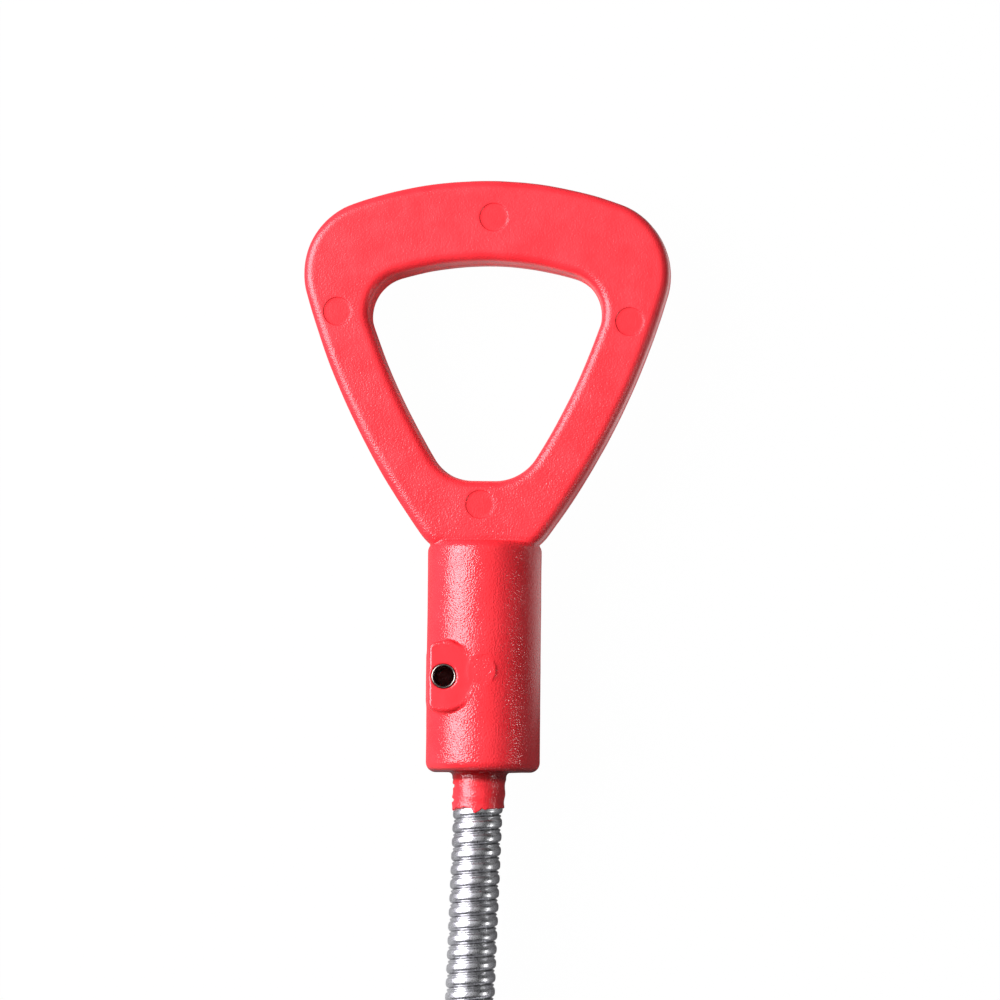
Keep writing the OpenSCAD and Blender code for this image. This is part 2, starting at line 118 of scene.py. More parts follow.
def add_camera():
    """A long lens, nearly square to the loop, from a little below it and to its right."""
    back = Vector((math.tan(FROM_RIGHT), -math.tan(FROM_BELOW), 1)).normalized()
    right = Vector((-math.sin(ROLL), math.cos(ROLL), 0)).cross(back).normalized()
    data = bpy.data.cameras.new("camera")
    data.lens, data.sensor_width, data.clip_start = LENS, SENSOR, 0.01
    camera = bpy.data.objects.new("camera", data)
    turn = Matrix((right, back.cross(right), back)).transposed().to_4x4()
    camera.matrix_world = Matrix.Translation(AIM + back * VIEW_WIDTH * LENS / SENSOR) @ turn
    bpy.context.scene.collection.objects.link(camera)
    bpy.context.scene.camera = camera


def add_lamp(name, place, size, power, colour=(1, 1, 1), aim=(0, 0, 9)):
    """A rectangular soft box that faces the aim. Its size is across and up, in millimetres."""
    data = bpy.data.lights.new(name, "AREA")
    data.shape, data.size, data.size_y = "RECTANGLE", size[0] * MM, size[1] * MM
    data.energy, data.color = power, colour
    lamp = bpy.data.objects.new(name, data)
    back = (Vector(place) - Vector(aim)).normalized()
    across = Vector(UP).cross(back).normalized()
    turn = Matrix((across, back.cross(across), back)).transposed().to_4x4()
    lamp.matrix_world = Matrix.Translation(Vector(place) * MM) @ turn
    bpy.context.scene.collection.objects.link(lamp)


def larger(nodes, links, first, second):
    """The larger of two values."""
    node = nodes.new("ShaderNodeMath")
    node.operation = "MAXIMUM"
    for socket, value in zip(node.inputs, (first, second)):
        links.new(value, socket)
    return node.outputs[0]


def ray_share(nodes, links, shares):
    """The largest of some Light Path outputs, each times its share."""
    path = nodes.new("ShaderNodeLightPath")
    most = None
    for output, share in shares.items():
        part = nodes.new("ShaderNodeMath")
        part.operation = "MULTIPLY"
        part.inputs[1].default_value = share
        links.new(path.outputs[output], part.inputs[0])
        most = larger(nodes, links, most, part.outputs[0]) if most else part.outputs[0]
    return most


SURFACE_HALF = 3.0  # in metres
PAPER_SHADE, WHITE_LEVEL = (0.11, 0.11, 0.11, 1), 1.065
WHITE_SHARES = {"Is Camera Ray": 0.93, "Is Glossy Ray": 0.05, "Is Transmission Ray": 0.35}

# Brighter patches of the surface: the place, where each starts and stops fading, and its level
GLOWS = [
    ((25, -18, 0), 11, 24, 0.75),
    ((42, 25, 0), 22, 42, 0.9),
    ((3, 24, 0), 6, 20, 0.8),
    ((-26, -85, 0), 14, 42, 0.4),
]


def add_surface():
    """The white surface, which stays white to the camera but keeps a soft shadow.

    Its brighter patches light the object's shaded sides from below."""
    half = SURFACE_HALF
    mesh = bpy.data.meshes.new("surface")
    corners = [(-half, -half, 0), (half, -half, 0), (half, half, 0), (-half, half, 0)]
    mesh.from_pydata(corners, [], [(0, 1, 2, 3)])
    surface = bpy.data.objects.new("surface", mesh)
    bpy.context.scene.collection.objects.link(surface)
    mat = bpy.data.materials.new("white_surface")
    mat.use_nodes = True
    nodes, links = mat.node_tree.nodes, mat.node_tree.links
    nodes.clear()
    out = nodes.new("ShaderNodeOutputMaterial")
    mix = nodes.new("ShaderNodeMixShader")
    paper = nodes.new("ShaderNodeBsdfDiffuse")
    paper.inputs["Color"].default_value = PAPER_SHADE
    white = nodes.new("ShaderNodeEmission")
    white.inputs["Strength"].default_value = WHITE_LEVEL
    most = ray_share(nodes, links, WHITE_SHARES)
    for place, near, far, level in GLOWS:
        away = nodes.new("ShaderNodeVectorMath")
        away.operation = "DISTANCE"
        away.inputs[1].default_value = Vector(place) * MM
        links.new(nodes.new("ShaderNodeTexCoord").outputs["Object"], away.inputs[0])
        glow = nodes.new("ShaderNodeMapRange")
        for key, value in (("From Min", near), ("From Max", far)):
            glow.inputs[key].default_value = value * MM
        glow.inputs["To Min"].default_value, glow.inputs["To Max"].default_value = level, 0
        links.new(away.outputs["Value"], glow.inputs["Value"])
        most = larger(nodes, links, most, glow.outputs[0])
    links.new(most, mix.inputs["Fac"])
    links.new(paper.outputs[0], mix.inputs[1])
    links.new(white.outputs[0], mix.inputs[2])
    links.new(mix.outputs[0], out.inputs["Surface"])
    mesh.materials.append(mat)


ROOM_ABOVE = (0.05, 0.25, 0.97)
# How near a way is to ROOM_ABOVE, as a dot product, and the room's brightness there
ROOM_LEVELS = {"From Min": 0.8, "From Max": 0.96, "To Min": 0.03, "To Max": 0.4}


def add_room():
    """A dim room with one soft light overhead, that the camera sees as white."""
    world = bpy.data.worlds.new("room")
    world.use_nodes = True
    nodes, links = world.node_tree.nodes, world.node_tree.links
    way = nodes.new("ShaderNodeTexCoord").outputs["Generated"]
    above = nodes.new("ShaderNodeVectorMath")
    above.operation = "DOT_PRODUCT"
    above.inputs[1].default_value = ROOM_ABOVE
    links.new(way, above.inputs[0])
    level = nodes.new("ShaderNodeMapRange")
    for key, value in ROOM_LEVELS.items():
        level.inputs[key].default_value = value
    links.new(above.outputs["Value"], level.inputs["Value"])
    camera_ray = nodes.new("ShaderNodeLightPath").outputs["Is Camera Ray"]
    most = larger(nodes, links, level.outputs[0], camera_ray)
    links.new(most, nodes["Background"].inputs["Strength"])
    nodes["Background"].inputs["Color"].default_value = (1, 1, 1, 1)
    bpy.context.scene.world = world


bpy.context.scene.view_settings.view_transform = "Standard"
add_camera()
add_surface()
add_room()
add_lamp("key", (-655, 170, 550), (730, 775), 20.4, (1, 0.97, 1.05))
add_lamp("right_spot", (300, -105, 95), (14, 60), 0.13)
add_lamp("right_glint", (324, -110, 240), (24, 60), 0.02)

# ---------------------------------------------------------------- materials


class Shader:
    """One procedural material in object space, with its sizes in millimetres."""

    def __init__(self, name, **values):
        self.mat = bpy.data.materials.new(name)
        self.mat.use_nodes = True
        self.nodes, self.links = self.mat.node_tree.nodes, self.mat.node_tree.links
        self.bsdf = self.nodes["Principled BSDF"]
        for key, value in values.items():
            self.bsdf.inputs[key.replace("_", " ")].default_value = value
        self.place = self.nodes.new("ShaderNodeTexCoord").outputs["Object"]
        self.normal = None

    def noise(self, size, detail):
        """Noise whose features are about that long."""
        node = self.nodes.new("ShaderNodeTexNoise")
        node.inputs["Scale"].default_value = 1 / (size * MM)
        node.inputs["Detail"].default_value = detail
        self.links.new(self.place, node.inputs["Vector"])
        return node.outputs["Fac"]

    def attribute(self, name):
        """A number that the mesh holds at each of its points."""
        node = self.nodes.new("ShaderNodeAttribute")
        node.attribute_name = name
        return node.outputs["Fac"]

    def along(self, axis):
        """The place along one axis, in metres."""
        node = self.nodes.new("ShaderNodeSeparateXYZ")
        self.links.new(self.place, node.inputs[0])
        return node.outputs[axis]

    def distance(self, point):
        """How far a point is, in metres. The point is in millimetres."""
        node = self.nodes.new("ShaderNodeVectorMath")
        node.operation = "DISTANCE"
        node.inputs[1].default_value = Vector(point) * MM
        self.links.new(self.place, node.inputs[0])
        return node.outputs["Value"]

    def math(self, operation, first, second):
        """One step of arithmetic on two values, each of them a number or a socket."""
        node = self.nodes.new("ShaderNodeMath")
        node.operation = operation
        for socket, value in zip(node.inputs, (first, second)):
            if isinstance(value, float):
                socket.default_value = value
            else:
                self.links.new(value, socket)
        return node.outputs[0]

    def spread(self, value, low, high, out_low=0.0, out_high=1.0):
        """value taken from low..high to out_low..out_high, and held there."""
        node = self.nodes.new("ShaderNodeMapRange")
        numbers = {"From Min": low, "From Max": high, "To Min": out_low, "To Max": out_high}
        for key, number in numbers.items():
            node.inputs[key].default_value = number
        self.links.new(value, node.inputs["Value"])
        return node.outputs[0]

    def mix(self, share, first, second):
        """A colour between two, each of them a colour or a socket."""
        node = self.nodes.new("ShaderNodeMix")
        node.data_type = "RGBA"
        self.links.new(share, node.inputs["Factor"])
        colours = [socket for socket in node.inputs if socket.type == "RGBA"]
        for socket, value in zip(colours, (first, second)):
            if isinstance(value, tuple):
                socket.default_value = (*value, 1)
            else:
                self.links.new(value, socket)
        return next(socket for socket in node.outputs if socket.type == "RGBA")

    def put(self, name, value):
        """Gives the material a value from a socket."""
        self.links.new(value, self.bsdf.inputs[name])

    def bump(self, height, depth):
        """Adds relief whose height from 0 to 1 stands for that depth."""
        node = self.nodes.new("ShaderNodeBump")
        node.inputs["Distance"].default_value = depth * MM
        self.links.new(height, node.inputs["Height"])
        if self.normal:
            self.links.new(self.normal, node.inputs["Normal"])
        self.normal = node.outputs["Normal"]
        self.links.new(self.normal, self.bsdf.inputs["Normal"])


def mark_places():
    """Where the ejector pins' four marks are on the loop's front."""
    front = AXIS_Z + LOOP_T / 2 - MARK_DEPTH
    return [(x, MOUTH_Y + MARK_ORIGIN_H + y, front) for x, y in MARKS]


RED_DEEP, RED_BRIGHT = (0.87, 0.029, 0.039), (0.90, 0.036, 0.047)
# RED_MARK is the ejector marks' red. The other colour is painted shade: the dark red of a band at
# the socket's mouth, where the mouth shades the skirt. The next line gives that band's top, foot
# and fade.
RED_MARK, RED_PAINTED_SHADE = (0.86, 0.025, 0.034), (0.3, 0.004, 0.006)
SHADE_TOP, SHADE_FOOT, SHADE_FADE = MOUTH_Y + 0.6, MOUTH_Y - 1.9, 0.8
MARK_EDGE_IN, MARK_EDGE_OUT, MARK_RELIEF = 0.09, 0.05, 0.07
SHEEN, LOOP_DULLER = (0.18, 0.25), 0.12  # the roughness, and what the loop has more of it
GRAIN_SIZE, GRAIN_DETAIL, GRAIN_DEPTH = 0.25, 0.2, 0.09


def red_plastic():
    """Red polypropylene with a fine moulded grain, smoother where the ejector pins stood.

    A painted shade darkens the socket's rounded mouth and the top of the skirt below it, where
    the mouth shades them. The loop is duller than the socket, and its grain fades towards its top
    and on the boss."""
    s = Shader("red_plastic", IOR=1.49)

    def down(top, foot, at_top=0.0, at_foot=1.0):
        """A value that changes from one place up the handle to another."""
        return s.spread(s.along("Y"), top * MM, foot * MM, at_top, at_foot)

    outside = None
    edge_from, edge_to = MARK_D / 2 - MARK_EDGE_IN, MARK_D / 2 + MARK_EDGE_OUT
    for place in mark_places():
        edge = s.spread(s.distance(place), edge_from * MM, edge_to * MM)
        outside = s.math("MULTIPLY", outside, edge) if outside else edge
    cloud = s.spread(s.noise(7, 3), 0.38, 0.62)
    red = s.mix(outside, RED_MARK, s.mix(cloud, RED_DEEP, RED_BRIGHT))
    # Painted shade: the band at the socket's mouth and the top of the skirt is mixed towards the
    # dark red.
    at_mouth = down(SHADE_TOP, SHADE_TOP - SHADE_FADE)
    above_foot = down(SHADE_FOOT, SHADE_FOOT + SHADE_FADE)
    s.put("Base Color", s.mix(s.math("MULTIPLY", at_mouth, above_foot), red, RED_PAINTED_SHADE))

    on_loop = down(SHOULDER_Y - 2, SHOULDER_Y + 3)
    rough = s.spread(s.noise(3.5, 2), 0.35, 0.65, *SHEEN)
    s.put("Roughness", s.math("ADD", rough, s.math("MULTIPLY", on_loop, LOOP_DULLER)))

    s.bump(outside, MARK_RELIEF)
    s.bump(s.noise(1.1, 2), 0.03)
    patches = s.spread(s.noise(5, 2), 0.35, 0.6, 0.75, 1.0)
    boss = (-PIN_OFFSET, PIN_Y, AXIS_Z + BOSS_H)
    off_boss = s.spread(s.distance(boss), 0.40 * BOSS_D * MM, 0.46 * BOSS_D * MM, 0.15)
    lower = down(LOOP_TOP_Y, LOOP_TOP_Y - 50, 0.35, 0.85)
    lower = s.math("ADD", lower, down(SHOULDER_Y + 4, SHOULDER_Y - 4, 0.0, 0.15))
    coarse = s.math("MULTIPLY", s.spread(outside, 0.0, 1.0, 0.5), off_boss)
    coarse = s.math("MULTIPLY", patches, s.math("MULTIPLY", lower, coarse))
    s.bump(s.math("MULTIPLY", s.noise(GRAIN_SIZE, GRAIN_DETAIL), coarse), GRAIN_DEPTH)
    return s.mat


ZINC_STAINED, ZINC_CLEAN = (0.64, 0.645, 0.66), (0.71, 0.715, 0.73)
# The colour that the low parts of the strip, its grooves and seams, are darkened towards.
GROOVE_DARK = (0.16, 0.155, 0.15)


def casing_steel():
    """Zinc-plated rolled strip: bright on the ribs, darker in the grooves."""
    s = Shader("casing_steel", Metallic=1.0)
    groove = s.attribute("groove")
    stain = s.spread(s.noise(4, 4), 0.3, 0.7)
    zinc = s.mix(stain, ZINC_STAINED, ZINC_CLEAN)
    s.put("Base Color", s.mix(groove, zinc, GROOVE_DARK))
    s.put("Roughness", s.spread(s.noise(0.13, 0), 0.4, 0.6, 0.26, 0.42))
    s.bump(s.noise(1.4, 2), 0.02)
    return s.mat


def steel(name, colour, low, high):
    """Plain metal: its roughness runs from low to high, with a fine grain."""
    s = Shader(name, Metallic=1.0)
    dull = tuple(0.8 * c for c in colour)
    s.put("Base Color", s.mix(s.spread(s.noise(2.5, 4), 0.35, 0.65), dull, colour))
    s.put("Roughness", s.spread(s.noise(0.6, 3), 0.3, 0.7, low, high))
    s.bump(s.noise(0.4, 3), 0.01)
    return s.mat


def tie_nylon():
    """Milky nylon, slightly uneven."""
    s = Shader("tie_nylon", IOR=1.53)
    milk = s.spread(s.noise(2, 2), 0.3, 0.7)
    s.put("Base Color", s.mix(milk, (0.74, 0.74, 0.70), (0.82, 0.82, 0.79)))
    s.put("Roughness", s.spread(s.noise(0.5, 2), 0.3, 0.7, 0.3, 0.45))
    s.bump(s.noise(0.35, 2), 0.012)
    return s.mat


RED = red_plastic()
CASING_STEEL = casing_steel()
PIN_STEEL = steel("pin_steel", (0.30, 0.26, 0.23), 0.2, 0.35)
DARK_STEEL = steel("dark_steel", (0.30, 0.30, 0.31), 0.35, 0.5)
FERRULE_STEEL = steel("ferrule_steel", (0.66, 0.67, 0.69), 0.2, 0.34)
SPRING_STEEL = steel("spring_steel", (0.42, 0.43, 0.45), 0.24, 0.38)
NYLON = tie_nylon()

# ---------------------------------------------------------------- meshes


def mesh_piece(name, points, faces, material, replaces=(), values=None):
    """One piece of the object. values are attributes by name, with one number a point."""
    mesh = bpy.data.meshes.new(name)
    mesh.from_pydata((np.asarray(points) * MM).tolist(), [], [list(map(int, f)) for f in faces])
    mesh.shade_smooth()
    for key, numbers in (values or {}).items():
        layer = mesh.attributes.new(key, "FLOAT", "POINT")
        layer.data.foreach_set("value", np.asarray(numbers, np.float32))
    mesh.materials.append(material)
    piece = bpy.data.objects.new(name, mesh)
    bpy.context.scene.collection.objects.link(piece)
    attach(piece, "root")
    if replaces:
        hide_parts(*replaces)
    return piece


def ring_faces(rings, sides, closed=False):
    """Faces of a tube of rings with as many points each, capped unless its ends are joined."""
    i, j = np.meshgrid(np.arange(rings if closed else rings - 1), np.arange(sides), indexing="ij")
    a, b = i * sides, ((i + 1) % rings) * sides
    k = (j + 1) % sides
    faces = np.stack([a + j, a + k, b + k, b + j], -1).reshape(-1, 4).tolist()
    if not closed:
        faces += [list(range(sides))[::-1], list(range((rings - 1) * sides, rings * sides))]
    return faces


def revolved(profile, steps, closed=False):
    """Points and faces of a profile of (radius, height) turned about local +Z."""
    turn = np.linspace(0, 2 * math.pi, steps, endpoint=False)
    profile = np.array(profile, float)
    points = np.stack([
        np.outer(profile[:, 0], np.cos(turn)),
        np.outer(profile[:, 0], np.sin(turn)),
        np.repeat(profile[:, 1:2], steps, 1),
    ], -1)
    return points.reshape(-1, 3), ring_faces(len(profile), steps, closed)


def arc(centre, r, start, end, steps, last=True):
    """Points of an arc, from start to end in degrees."""
    a = np.radians(np.linspace(start, end, steps + 1))[: None if last else -1]
    return np.stack([centre[0] + r * np.cos(a), centre[1] + r * np.sin(a)], -1)


def basis(origin, way, side=FRONT):
    """The 4 by 4 matrix that puts local +Z along way, at origin, with local +X near side."""
    z = Vector(way).normalized()
    x = (Vector(side) - z * Vector(side).dot(z)).normalized()
    m = Matrix((x, z.cross(x), z)).transposed().to_4x4()
    m.translation = Vector(origin)
    return np.array(m)


def moved(points, matrix):
    """Points taken through a 4 by 4 matrix."""
    return np.asarray(points) @ matrix[:3, :3].T + matrix[:3, 3]


def joined(*parts):
    """Several pairs of points and faces as one."""
    points, faces, count = [], [], 0
    for some, their_faces in parts:
        points.append(np.asarray(some))
        faces += [[i + count for i in face] for face in their_faces]
        count += len(some)
    return np.concatenate(points), faces


def smoothstep(t):
    """From 0 to 1 with level ends, and held beyond them."""
    t = np.clip(t, 0, 1)
    return t * t * (3 - 2 * t)


def unit(vectors):
    """The same ways, each with a length of 1."""
    return vectors / np.linalg.norm(vectors, axis=-1, keepdims=True)


def evenly(line, step):
    """The same line, with its points about one step apart."""
    length = run_of(line)
    at = np.linspace(0, length[-1], max(2, round(length[-1] / step) + 1))
    return np.stack([np.interp(at, length, line[:, k]) for k in range(3)], -1)


def run_of(line):
    """How far along the line each of its points is."""
    return np.concatenate([[0], np.cumsum(np.linalg.norm(np.diff(line, axis=0), axis=1))])


def smooth_way(controls, step):
    """A smooth curve through the control points, by cubic pieces that don't overshoot."""
    p = np.array(controls, float)
    p = np.concatenate([[2 * p[0] - p[1]], p, [2 * p[-1] - p[-2]]])
    out = []
    for a, b, c, d in zip(p[:-3], p[1:-2], p[2:-1], p[3:]):
        t1, t2, t3 = np.cumsum([np.linalg.norm(q) ** 0.5 for q in (b - a, c - b, d - c)])
        steps = max(3, int(np.linalg.norm(c - b) / step))
        t = np.linspace(t1, t2, steps, endpoint=False)[:, None]
        ab, bc = a + (b - a) * t / t1, b + (c - b) * (t - t1) / (t2 - t1)
        cd = c + (d - c) * (t - t2) / (t3 - t2)
        left = ab * (t2 - t) / t2 + bc * t / t2
        right = bc * (t3 - t) / (t3 - t1) + cd * (t - t1) / (t3 - t1)
        out.append(left * (t2 - t) / (t2 - t1) + right * (t - t1) / (t2 - t1))
    return evenly(np.concatenate(out + [p[-2:-1]]), step)


def transported(line):
    """Two unit vectors across each point of the line, turned as little as possible along it."""
    way = unit(np.gradient(line, axis=0))
    side = np.empty_like(line)
    s = np.cross(way[0], FRONT)
    for k, w in enumerate(way):
        s = s - w * (s @ w)
        s /= np.linalg.norm(s)
        side[k] = s
    return side, np.cross(way, side)


def tube_points(line, side, up, r, angles):
    """Points of a tube about a line: round each of its points a ring of radius r, at angles."""
    turn = angles[None, :, None]
    points = line[:, None] + r * (side[:, None] * np.cos(turn) + up[:, None] * np.sin(turn))
    return points.reshape(-1, 3)


def round_wire(line, r, sides):
    """A wire along the line, with domed ends."""
    side, up = transported(line)
    way = np.cross(side, up)
    dome = np.radians(np.arange(10, 90, 16))
    start = [line[0] - way[0] * r * math.cos(a) for a in dome]
    end = [line[-1] + way[-1] * r * math.cos(a) for a in dome[::-1]]
    centres = np.concatenate([start, line, end])
    radii = np.concatenate([r * np.sin(dome), np.full(len(line), r), r * np.sin(dome[::-1])])
    pad = (len(dome), len(dome))
    side, up = (np.pad(v, (pad, (0, 0)), "edge") for v in (side, up))
    turn = np.linspace(0, 2 * math.pi, sides, endpoint=False)
    points = tube_points(centres, side, up, radii[:, None, None], turn)
    return points, ring_faces(len(centres), sides)


def round_box(size, r, steps=4):
    """A box with round edges about the origin, from a cube's grid pressed onto the shape."""
    half = np.array(size, float) / 2
    points, faces = [], []
    n = 2 * steps + 2
    for axis in range(3):
        for sign in (-1, 1):
            u, v = np.meshgrid(corner_line(half, r, (axis + 1) % 3, steps),
                               corner_line(half, r, (axis + 2) % 3, steps), indexing="ij")
            grid = np.empty(u.shape + (3,))
            grid[..., axis] = sign * half[axis]
            grid[..., (axis + 1) % 3], grid[..., (axis + 2) % 3] = u, v
            start = len(points) * n * n
            points.append(grid.reshape(-1, 3))
            for i in range(n - 1):
                for j in range(n - 1):
                    face = [i * n + j, (i + 1) * n + j, (i + 1) * n + j + 1, i * n + j + 1]
                    faces.append([start + k for k in (face if sign > 0 else face[::-1])])
    points = np.concatenate(points)
    inner = np.clip(points, -(half - r), half - r)
    return inner + r * unit(points - inner), faces


def corner_line(half, r, axis, steps):
    """Places across one side of a round box: its middle stretch is flat."""
    bend = r * (1 - np.tan(np.linspace(math.pi / 4, 0, steps + 1)))
    return np.concatenate([-half[axis] + bend, half[axis] - bend[::-1]])


# ---------------------------------------------------------------- the casing

# The strip's lip and then its rib, along a pitch away from the handle. Their places and half
# widths are shares of the pitch, and their heights are shares of the groove's depth
LIP_AT, LIP_HALF, LIP_H = 0.13, 0.1, 0.72
RIB_AT, RIB_HALF, RIB_POWER, VALLEY_H, DARK_BELOW = 0.61, 0.37, 3, 0.5, 0.3
RIB_PHASE = RIB_AT - 0.588
STREAKS, STREAK_DEPTH = 10, 0.01  # the rolling marks along the strip: how many a pitch
SEEN_L, SEEN_STEP, HIDDEN_STEP = 74.0, RIB_PITCH / 28, RIB_PITCH / 7


def coil_way():
    """The coil's turns: one low and outside, one low and inside, one on top, then off to the tip.

    Angles count from the coil's left, where the casing comes in. Each move says from which angle
    to which angle the casing shifts, and to what radius and height."""
    moves = [
        (295, 358, COIL_R - CASING_R, COIL_Z),
        (600, 655, COIL_R - CASING_R, HIGH_Z),
        (715, 760, COIL_R, NESTED_Z),
        (915, 960, COIL_R + CASING_R, HIGH_Z),
    ]
    angle = np.arange(4, 1061, 4.0)
    r, z = np.full(len(angle), COIL_R + CASING_R), np.full(len(angle), COIL_Z)
    for start, end, to_r, to_z in moves:
        part = smoothstep((angle - start) / (end - start))
        r, z = r + (to_r - r) * part, z + (to_z - z) * part
    turn = np.radians(180 + angle)
    return np.stack([COIL_C[0] + r * np.cos(turn), COIL_C[1] + r * np.sin(turn), z], -1)


def casing_line(step):
    """The casing's centreline, from its grip in the socket to its grip in the ferrule."""
    grip = CASING_PIVOT - (CASING_GRIP - PIN_H) * CASING_WAY
    straight = [grip + (NECK_END - grip) * t for t in np.linspace(0, 1, 8)]
    controls = straight + [NECK_END + 6 * CASING_WAY] + RUN_ROUTE + list(coil_way())
    return smooth_way(controls + TAIL_ROUTE + [TIP, TIP + FERRULE_GRIP * TIP_WAY], step)


def rib_profile(phase):
    """Height over the groove's floor, and how dark the groove is, at a phase from 0 to 1."""
    t = np.mod(phase, 1.0)
    lip = LIP_H * np.sqrt(np.clip(1 - ((t - LIP_AT) / LIP_HALF) ** 2, 0, 1))
    rib = np.sqrt(np.clip(1 - np.abs((t - RIB_AT) / RIB_HALF) ** RIB_POWER, 0, 1))
    valley = VALLEY_H * (np.abs(t - (LIP_AT + RIB_AT) / 2) < (RIB_AT - LIP_AT) / 2)
    height = np.maximum(np.maximum(lip, rib), valley)
    return GROOVE_DEPTH * height, smoothstep((DARK_BELOW - height) / DARK_BELOW)


def add_casing():
    """One wound tube, finer where it is seen straight, whose skin carries right-hand ribs."""
    line = casing_line(SEEN_STEP)
    length = run_of(line)
    seen = length < SEEN_L
    skip = round(HIDDEN_STEP / SEEN_STEP)
    keep = np.concatenate([np.nonzero(seen)[0], np.nonzero(~seen)[0][::skip], [len(line) - 1]])
    keep = np.unique(keep)
    side, up = (v[keep] for v in transported(line))
    line, length = line[keep], length[keep]
    sides = 48
    turn = np.linspace(0, 1, sides, endpoint=False)
    phase = length[:, None] / RIB_PITCH - turn + RIB_PHASE
    height, dark = rib_profile(phase)
    marks = np.random.default_rng(5).uniform(-1, 1, int(phase.max() * STREAKS) + 3)
    streak = np.interp((phase + 1) * STREAKS, np.arange(len(marks)), marks)
    height = height + STREAK_DEPTH * streak * (height > 0.5 * GROOVE_DEPTH)
    r = (CASING_R - GROOVE_DEPTH + height)[..., None]
    points = tube_points(line, side, up, r, 2 * math.pi * turn)
    nodes = ("casing_neck", "casing_run", "casing_coil", "casing_tail")
    return mesh_piece("wound_casing", points, ring_faces(len(line), sides),
                      CASING_STEEL, nodes, {"groove": dark.ravel()})


casing = add_casing()

# ---------------------------------------------------------------- the handle's shape


def crossing(c1, r1, c2, r2):
    """Where two circles cross, on the left of the way from the first centre to the second."""
    c1, c2 = np.array(c1, float), np.array(c2, float)
    d = np.linalg.norm(c2 - c1)
    u = (c2 - c1) / d
    along = (d * d + r1 * r1 - r2 * r2) / (2 * d)
    return c1 + along * u + math.sqrt(r1 * r1 - along * along) * np.array([-u[1], u[0]])


def bearing(start, end):
    """The way from one point to another, in degrees."""
    return math.degrees(math.atan2(end[1] - start[1], end[0] - start[0]))


def bearing_at(centre, r, y):
    """Where a circle's right side passes a height, in degrees."""
    return math.degrees(math.asin((y - centre[1]) / r))


def whole(half):
    """A right half from its top to its foot, with its mirror image."""
    return np.concatenate([half, (half * [-1, 1])[:0:-1]])


def loop_outline():
    """The loop's outer edge, from arcs that run smoothly into one another."""
    top = (0, LOOP_TOP_Y - LOOP_TOP_R)
    x = LOOP_W / 2 - LOOP_CORNER_R
    corner = (x, top[1] + math.sqrt((LOOP_TOP_R - LOOP_CORNER_R) ** 2 - x * x))
    foot_at = (LOOP_FOOT_W / 2, SHOULDER_Y)
    side = crossing(foot_at, LOOP_SIDE_R, corner, LOOP_SIDE_R - LOOP_CORNER_R)
    a1, a2 = bearing(top, corner), bearing(side, corner)
    a3 = bearing_at(side, LOOP_SIDE_R, SHOULDER_Y + FOOT_TOP)
    reach, turn = LOOP_SIDE_R - LOOP_FOOT_R, math.radians(a3)
    foot = (side[0] + reach * math.cos(turn), side[1] + reach * math.sin(turn))
    a4 = bearing_at(foot, LOOP_FOOT_R, SHOULDER_Y - FOOT_SINK)
    return whole(np.concatenate([
        arc(top, LOOP_TOP_R, 90, a1, 24, False),
        arc(corner, LOOP_CORNER_R, a1, a2, 24, False),
        arc(side, LOOP_SIDE_R, a2, a3, 48, False),
        arc(foot, LOOP_FOOT_R, a3, a4, 8),
    ]))


def hole_outline():
    """The finger hole's edge, made in the same way."""
    top = (0, LOOP_TOP_Y - RIM_W - HOLE_TOP_R)
    x, base_y = HOLE_W / 2 - HOLE_CORNER_R, SHOULDER_Y + WEB_H
    corner = (x, top[1] + math.sqrt((HOLE_TOP_R - HOLE_CORNER_R) ** 2 - x * x))
    side = crossing((HOLE_BASE_W / 2, base_y), HOLE_SIDE_R, corner, HOLE_SIDE_R - HOLE_CORNER_R)
    y = base_y + HOLE_BASE_R
    base = (side[0] + math.sqrt((HOLE_SIDE_R - HOLE_BASE_R) ** 2 - (y - side[1]) ** 2), y)
    a1, a2, a3 = bearing(top, corner), bearing(side, corner), bearing(side, base)
    return whole(np.concatenate([
        arc(top, HOLE_TOP_R, 90, a1, 24, False),
        arc(corner, HOLE_CORNER_R, a1, a2, 20, False),
        arc(side, HOLE_SIDE_R, a2, a3, 36, False),
        arc(base, HOLE_BASE_R, a3, -90, 16),
    ]))


def plan_distance(x, y, outline):
    """Distance in the plane from a closed outline, below zero inside it."""
    near, inside = np.full(np.broadcast(x, y).shape, np.inf), False
    for (ax, ay), (bx, by) in zip(outline, np.roll(outline, -1, 0)):
        ex, ey = bx - ax, by - ay
        t = np.clip(((x - ax) * ex + (y - ay) * ey) / (ex * ex + ey * ey), 0, 1)
        near = np.minimum(near, (x - ax - t * ex) ** 2 + (y - ay - t * ey) ** 2)
        if ey:
            inside = inside ^ (((ay > y) != (by > y)) & (x < ex * (y - ay) / ey + ax))
    return np.where(inside, -1, 1) * np.sqrt(near)


def both(a, b, r):
    """The shape inside both of two, with its edge rounded to r."""
    a, b = a + r, b + r
    return np.minimum(np.maximum(a, b), 0) + np.hypot(np.maximum(a, 0), np.maximum(b, 0)) - r


def either(a, b, r):
    """The shape inside either of two, with a fillet of about r."""
    return -both(-a, -b, r)


